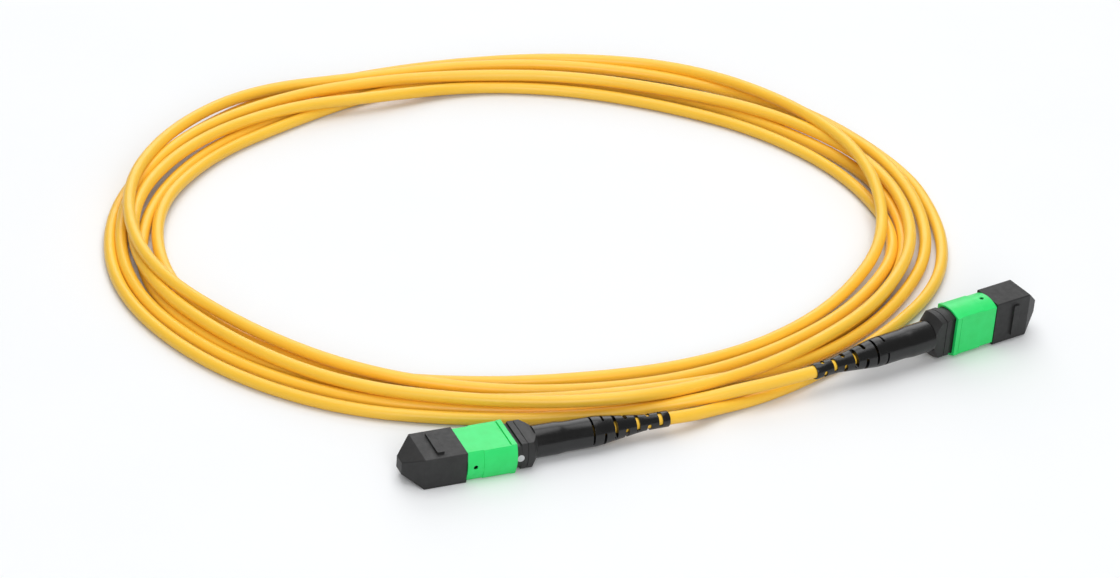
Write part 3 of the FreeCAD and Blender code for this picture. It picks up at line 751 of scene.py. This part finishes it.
@dataclass
class Plug:
    """One multi-fibre push-on plug: finishes for its CAD pieces and its small marks.

    Attributes:
        end: Which plug it is.
        frame: Where it stands.
        dot_place: The white dot's distance from the sleeve's front edge, in millimetres.
        dot_side: Which narrow side has the dot, -1 or 1 along y.
        dot_radius: The dot's radius.
        dot_rings: How many rings of faces the dot has.
        dot_sides: How many sides each ring has.
        side_reach: How far the housing's domed side reaches from the middle.
        side_radius: The radius of that dome.
        paint: The thickness of the dot.
        face_place: The ferrule face's place along the plug at mid height.
        face_angle: The lean of that face in degrees.
        fibre_count: How many fibres end in it.
        fibre_pitch: Their spacing.
        fibre_radius: Their radius.
        fibre_sides: How many sides each has.
        fibre_crown: How far the middle of each stands proud of the face.
        fibre_rim: How far its rim does.
        sleeve_travel: How far the sleeve slides; not used.
        ferrule_travel: How far the ferrule floats; not used.
    """

    end: End
    frame: PlugFrame
    dot_place: float = 12.9
    dot_side: float = -1.0
    dot_radius: float = 0.85
    dot_rings: int = 5
    dot_sides: int = 32
    side_reach: float = 5.55
    side_radius: float = 5.4766
    paint: float = 0.04
    face_place: float = -8.3243
    face_angle: float = 8.0
    fibre_count: int = 12
    fibre_pitch: float = 0.25
    fibre_radius: float = 0.0625
    fibre_sides: int = 16
    fibre_crown: float = 0.006
    fibre_rim: float = 0.002
    sleeve_travel: float = 1.2
    ferrule_travel: float = 1.0

    def name(self, piece: str) -> str:
        """A piece's full name."""
        return f"{self.end.value}_{piece}"

    def node(self, piece: str) -> bpy.types.Object:
        """A CAD piece of this plug."""
        return frame["nodes"][self.name(piece)]

    def dress(self) -> None:
        """Give each CAD piece its finish."""
        label = self.end.value
        finishes = {
            "dust_cap": BLACK_CAP,
            "coupling_housing": GREEN_SLEEVE,
            "inner_housing": BLACK_HOUSING,
            "mt_ferrule": GREY_FERRULE,
            "ferrule_boot": SEAL_RUBBER,
            "pin_spacer": SPACER_PLASTIC,
            "fibre_ribbon": RIBBON,
            "spring_push": BLACK_HOUSING,
            "aramid_yarn": ARAMID,
            "crimp_ring": CRIMP_METAL,
        }
        made: dict[str, bpy.types.Material] = {}
        for piece, finish in finishes.items():
            if finish.name not in made:
                made[finish.name] = finish.material(self.frame, label)
            for holder in self.node(piece).material_slots:
                holder.material = made[finish.name]
            log.info("%s dressed in %s", self.name(piece), finish.name)
        for holder in self.node("cable_end").material_slots:
            holder.material = YELLOW_JACKET.material()
        log.info("%s dressed in %s", self.name("cable_end"), YELLOW_JACKET.name)

    def marker_dot(self) -> bpy.types.Object:
        """The white dot on the housing's side, bowed as the side is.

        Returns:
            The dot.
        """
        shape = bmesh.new()
        rings, around = self.dot_rings, self.dot_sides
        levels = [(0.0, self.paint)] + [
            (self.dot_radius * step / rings, self.paint * (1 - 0.15 * (step / rings) ** 2))
            for step in range(1, rings + 1)
        ] + [(self.dot_radius * 1.03, 0.0)]
        hub = self.side_reach - self.side_radius

        def corner(radius: float, angle: float, rise: float) -> bmesh.types.BMVert:
            """One corner of the dot.

            Args:
                radius: Its distance from the dot's middle.
                angle: Its direction, in radians.
                rise: Its height above the domed side.

            Returns:
                The corner.
            """
            x = self.dot_place + radius * math.cos(angle)
            z = radius * math.sin(angle)
            y = hub + math.sqrt(self.side_radius ** 2 - z * z) + rise
            return shape.verts.new((x, self.dot_side * y, z))

        middle = corner(0.0, 0.0, self.paint)
        loops = []
        for radius, rise in levels[1:]:
            loops.append([corner(radius, 2 * math.pi * k / around, rise) for k in range(around)])
        for k in range(around):
            shape.faces.new((middle, loops[0][k], loops[0][(k + 1) % around]))
            for inner, outer in zip(loops, loops[1:]):
                shape.faces.new((inner[k], outer[k], outer[(k + 1) % around],
                                 inner[(k + 1) % around]))
        return self.finish_mesh(shape, "marker_dot", DOT_PAINT, "cord", "housing_black")

    def fibre_ends(self) -> bpy.types.Object:
        """The polished fibre ends, a hair proud of the ferrule's angled face.

        Returns:
            The fibre ends.
        """
        shape = bmesh.new()
        lean = Matrix.Rotation(math.radians(self.face_angle), 4, "Y")
        for index in range(self.fibre_count):
            y = (index - (self.fibre_count - 1) / 2) * self.fibre_pitch
            hub = Vector((self.face_place, y, 0.0))
            crown = shape.verts.new(hub + lean @ Vector((-self.fibre_crown, 0, 0)))
            rim = Vector((-self.fibre_rim, 0, 0))
            ring = []
            for k in range(self.fibre_sides):
                angle = 2 * math.pi * k / self.fibre_sides
                spoke = Vector((0.0, math.cos(angle), math.sin(angle))) * self.fibre_radius
                ring.append(shape.verts.new(hub + lean @ (spoke + rim)))
            for k in range(self.fibre_sides):
                shape.faces.new((crown, ring[(k + 1) % self.fibre_sides], ring[k]))
        body = self.name("ferrule_set")
        return self.finish_mesh(shape, "fibre_ends", GLASS_FIBRE, body, "ribbon_clear")

    def spring(self, piece: str, joint: str) -> bpy.types.Object:
        """A copy of a CAD spring, in a mesh of its own, that hides the CAD piece.

        Args:
            piece: The CAD spring that it stands for.
            joint: The short name of the joint that presses it; not used.

        Returns:
            The spring.
        """
        shape = bmesh.new()
        shape.from_mesh(self.node(piece).data)
        bmesh.ops.transform(shape, matrix=self.frame.matrix().inverted(), verts=shape.verts)
        along = [corner.co.x for corner in shape.verts]
        front, rear = min(along), max(along)
        made = self.finish_mesh(shape, f"{piece}_coil", SPRING_STEEL, "cord", "spring_steel")
        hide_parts(self.name(piece))
        self.name(joint)
        self.frame.point(rear, 0.0, 0.0)
        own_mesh(made)
        return made

    def finish_mesh(self, shape: bmesh.types.BMesh, piece: str,
                    finish: Union[MouldedPlastic, DrawnMetal],
                    body: str, slot: str) -> bpy.types.Object:
        """Turn a shape in the plug's frame into a finished piece of the model.

        Args:
            shape: The shape, in millimetres.
            piece: The piece's short name.
            finish: Its finish.
            body: The body that it rides on.
            slot: The record's material slot; not used.

        Returns:
            The piece.
        """
        bmesh.ops.transform(shape, matrix=self.frame.matrix(), verts=shape.verts)
        bmesh.ops.recalc_face_normals(shape, faces=shape.faces)
        mesh = bpy.data.meshes.new(self.name(piece))
        shape.to_mesh(mesh)
        shape.free()
        mesh.shade_smooth()
        mesh.materials.append(finish.material(self.frame, self.end.value))
        made = bpy.data.objects.new(self.name(piece), mesh)
        bpy.context.collection.objects.link(made)
        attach(made, body)
        log.info("%s made", made.name)
        return made

    def build(self) -> list[bpy.types.Object]:
        """Dress the plug and add its marks.

        Returns:
            The added pieces.
        """
        self.dress()
        return [
            self.marker_dot(), self.fibre_ends(),
            self.spring("coupling_spring_left", "coupling_slide"),
            self.spring("coupling_spring_right", "coupling_slide"),
            self.spring("ferrule_spring", "ferrule_float"),
        ]


@dataclass
class StrainRelief:
    """A plug's tapered boot with its paired slots, which alternate by a quarter turn.

    Attributes:
        plug: The plug that it belongs to.
        roll: How far it is turned about the cable, in degrees.
        outside: Distance along the plug and radius, down the outside, in millimetres.
        bore: The same down the bore, from the tail.
        slots: Width in millimetres and arc in degrees of each pair.
        first: The first pair's place along the plug.
        last: The last pair's place.
        tilt: The direction of the first pair, in degrees.
        around: How many sides the round has.
        arc_steps: How many steps the straight stretch of a slot has.
        end_steps: How many steps each round end has.
        cut_from: How near the axis a slot's cutter starts, in millimetres.
        cut_to: How far from the axis it ends.
        thinnest: Half its width at the tip of a round end.
        crease: The angle between faces, in degrees, above which an edge stays sharp.
    """

    plug: Plug
    roll: float = 0.0
    outside: Sequence[tuple[float, float]] = (
        (17.7, 3.775), (23.3, 3.775), (24.4, 3.66), (25.5, 3.525), (32.2, 3.525),
        (33.2, 3.49), (34.4, 3.38), (44.0, 2.03), (45.1, 1.9), (51.0, 1.9), (51.3, 1.75),
    )
    bore: Sequence[tuple[float, float]] = (
        (51.3, 1.55), (28.75, 1.55), (28.4, 1.9), (25.4, 1.9), (24.4, 2.9), (17.7, 2.9),
    )
    slots: Sequence[tuple[float, float]] = (
        (0.5, 134.0), (0.6, 130.0), (0.8, 134.0), (1.0, 126.0),
        (0.9, 128.0), (1.0, 116.0), (1.0, 118.0),
    )
    first: float = 31.75
    last: float = 48.95
    tilt: float = 135.0
    around: int = 96
    arc_steps: int = 24
    end_steps: int = 6
    cut_from: float = 1.0
    cut_to: float = 5.0
    thinnest: float = 0.004
    crease: float = 32.0

    def body(self) -> bpy.types.Mesh:
        """The boot before its slots are cut.

        Returns:
            Its mesh, in the plug's frame.
        """
        shape = bmesh.new()
        line = [*self.outside, *self.bore]
        rings = []
        for along, radius in line:
            ring = []
            for k in range(self.around):
                angle = 2 * math.pi * k / self.around
                corner = (along, radius * math.cos(angle), radius * math.sin(angle))
                ring.append(shape.verts.new(corner))
            rings.append(ring)
        for one, two in zip(rings, rings[1:] + rings[:1]):
            for k in range(self.around):
                after = (k + 1) % self.around
                shape.faces.new((one[k], two[k], two[after], one[after]))
        return self.as_mesh(shape, "blank")

    def cutters(self) -> bpy.types.Mesh:
        """A round-ended cutter for each slot.

        Returns:
            All the cutters as one mesh, in the plug's frame.
        """
        shape = bmesh.new()
        pitch = (self.last - self.first) / (len(self.slots) - 1)
        corners = ((-1, self.cut_from), (1, self.cut_from), (1, self.cut_to), (-1, self.cut_to))
        for station, (width, arc) in enumerate(self.slots):
            middle = self.first + station * pitch
            round_arc = math.degrees(width / 2 / self.radius_at(middle))
            straight = arc / 2 - round_arc
            turns = self.turns(straight, round_arc)
            for half in (0, 180):
                heading = self.tilt + self.roll + 90 * station + half
                rows = []
                for turn in turns:
                    into = max(0.0, abs(turn) - straight) / round_arc
                    reach = max(width / 2 * math.sqrt(max(0.0, 1 - into ** 2)), self.thinnest)
                    angle = math.radians(heading + turn)
                    rows.append([shape.verts.new((middle + side * reach,
                                                  depth * math.cos(angle),
                                                  depth * math.sin(angle)))
                                 for side, depth in corners])
                for one, two in zip(rows, rows[1:]):
                    for k in range(len(corners)):
                        after = (k + 1) % len(corners)
                        shape.faces.new((one[k], one[after], two[after], two[k]))
                shape.faces.new(rows[0])
                shape.faces.new(reversed(rows[-1]))
        return self.as_mesh(shape, "cutters")

    def turns(self, straight: float, round_arc: float) -> list[float]:
        """The directions at which a slot's cutter has corners, from one end to the other.

        Args:
            straight: Half the arc between the round ends, in degrees.
            round_arc: The arc of one round end.

        Returns:
            The directions in degrees from the slot's middle.
        """
        steps, end_steps = self.arc_steps, self.end_steps
        between = [-straight + 2 * straight * k / steps for k in range(steps + 1)]
        end = [straight + round_arc * math.sin(math.pi / 2 * k / end_steps)
               for k in range(1, end_steps + 1)]
        return [-turn for turn in reversed(end)] + between + end

    def radius_at(self, along: float) -> float:
        """The outside's radius at a place along the plug.

        Args:
            along: The place, in millimetres.

        Returns:
            The radius in millimetres.
        """
        for (start, one), (end, two) in zip(self.outside, self.outside[1:]):
            if start <= along <= end:
                return one + (two - one) * (along - start) / (end - start)
        return self.outside[-1][1]

    def as_mesh(self, shape: bmesh.types.BMesh, label: str) -> bpy.types.Mesh:
        """Turn a shape into a mesh whose faces point outwards.

        Args:
            shape: The shape, which is used up.
            label: What tells this mesh from the boot's other one.

        Returns:
            The mesh.
        """
        bmesh.ops.recalc_face_normals(shape, faces=shape.faces)
        mesh = bpy.data.meshes.new(f"{self.plug.name('strain_relief')}_{label}")
        shape.to_mesh(mesh)
        shape.free()
        return mesh

    def build(self) -> bpy.types.Object:
        """Cut the slots and finish the boot.

        Returns:
            The boot.
        """
        blank = bpy.data.objects.new("relief_blank", self.body())
        cutter = bpy.data.objects.new("relief_cutter", self.cutters())
        for helper in (blank, cutter):
            bpy.context.collection.objects.link(helper)
        cut = blank.modifiers.new("slots", "BOOLEAN")
        cut.operation = "DIFFERENCE"
        cut.solver = "EXACT"
        cut.object = cutter
        bpy.context.view_layer.update()
        ready = blank.evaluated_get(bpy.context.evaluated_depsgraph_get())
        shape = bmesh.new()
        shape.from_mesh(ready.to_mesh())
        ready.to_mesh_clear()
        for helper in (blank, cutter):
            bpy.data.meshes.remove(helper.data)
        made = self.plug.finish_mesh(shape, "strain_relief", BOOT_RUBBER, "cord", "boot_rubber")
        made.data.set_sharp_from_angle(angle=math.radians(self.crease))
        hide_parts(self.plug.name("boot"))
        return made


@dataclass
class PlugPair:
    """Both plugs, placed from the boxes of their CAD pieces.

    Attributes:
        far_yaw: The far plug's heading in degrees.
        far_roll: Its roll in degrees.
    """

    far_yaw: float = 191.4
    far_roll: float = -90.0

    def middle(self, node: str) -> Vector:
        """The middle of a CAD piece's box."""
        low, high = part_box(node)
        return (low + high) / 2

    def place(self, end: End) -> PlugFrame:
        """Where a plug stands.

        Args:
            end: Which plug.

        Returns:
            Its frame.
        """
        low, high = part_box("near_coupling_housing")
        origin = Vector((low.x, (low.y + high.y) / 2, (low.z + high.z) / 2))
        if end is End.NEAR:
            return PlugFrame(origin, Matrix.Identity(3))
        turn = Euler((math.radians(self.far_roll), 0, math.radians(self.far_yaw))).to_matrix()
        reach = self.middle("near_fibre_ribbon") - origin
        return PlugFrame(self.middle("far_fibre_ribbon") - turn @ reach, turn)

    def cable_exit(self, plug: Plug) -> Vector:
        """Where the cable leaves a plug's boot."""
        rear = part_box("near_boot")[1].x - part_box("near_coupling_housing")[0].x
        return plug.frame.point(rear / MM, 0.0, 0.0)


def main() -> None:
    """Build the looks of the patch cord, piece by piece."""
    logging.basicConfig(level=logging.INFO, format="%(name)s: %(message)s")
    studio = Studio()
    studio.camera()
    pair = PlugPair()
    near = Plug(End.NEAR, pair.place(End.NEAR))
    far = Plug(End.FAR, pair.place(End.FAR), dot_side=1.0)
    near.build()
    StrainRelief(near).build()
    carried = far.build()
    carried.append(StrainRelief(far, roll=90.0).build())
    replaced = ("far_lead", "far_boot", "far_coupling_spring_left",
                "far_coupling_spring_right", "far_ferrule_spring")
    carried += [node for name, node in frame["nodes"].items()
                if name.startswith("far_") and name not in replaced]
    cable = PatchCable(pair.cable_exit(near), pair.cable_exit(far))
    cable.build(carried)
    studio.build()
    log.info("sizes written")


if __name__ == "__main__":
    main()
